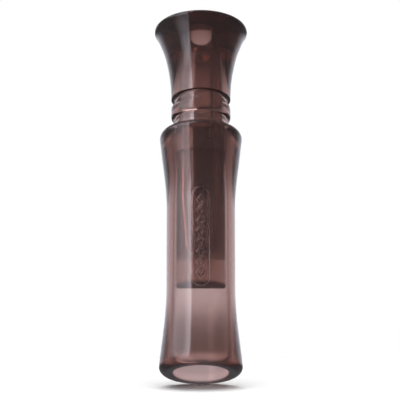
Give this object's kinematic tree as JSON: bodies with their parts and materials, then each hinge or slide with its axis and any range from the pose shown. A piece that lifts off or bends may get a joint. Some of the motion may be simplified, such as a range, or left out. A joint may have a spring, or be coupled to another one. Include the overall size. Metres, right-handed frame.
{
  "type": "duck call",
  "caption": "Duck call with a clear plastic barrel, a pull-out stopper with a flared exhaust bell, a tone board, film reeds that flex together and a holding wedge.",
  "frame": {"origin": "centre of the mouth end of the barrel, on the flat land of the lip", "axes": "+Z along the common axis from the mouth end to the exhaust bell; +Y is the side that the reeds face"},
  "size_m": [0.0364, 0.0364, 0.1413],
  "materials": {
    "clear_body": "smoke-brown clear acrylic, polished",
    "film": "thin frosted polyester film",
    "wedge_rubber": "dense black rubber"
  },
  "bodies": {
    "barrel": {"barrel": "clear_body"},
    "insert": {"stopper": "clear_body", "tone_board": "clear_body", "reed_long_tail": "film", "reed_short_tail": "film", "wedge": "wedge_rubber"},
    "long_reed": {"reed_long": "film"},
    "short_reed": {"reed_short": "film"}
  },
  "joints": [
    {"name": "stopper_pull", "type": "slide", "parent": "barrel", "child": "insert", "axis": [0, 0, 1], "range_m": [0, 0.07]},
    {"name": "long_reed_flex", "type": "hinge", "parent": "insert", "child": "long_reed", "pos_m": [0, 0, 0.072], "axis": [1, 0, 0], "range_deg": [-1.6, 2.5], "stiffness_Nm_per_rad": 0.011},
    {"name": "short_reed_flex", "type": "hinge", "parent": "insert", "child": "short_reed", "pos_m": [0, 0, 0.072], "axis": [1, 0, 0], "range_deg": [-1.6, 2.5], "stiffness_Nm_per_rad": 0.008}
  ],
  "couplings": [
    {"joint": "short_reed_flex", "follows": "long_reed_flex", "ratio": 1}
  ]
}
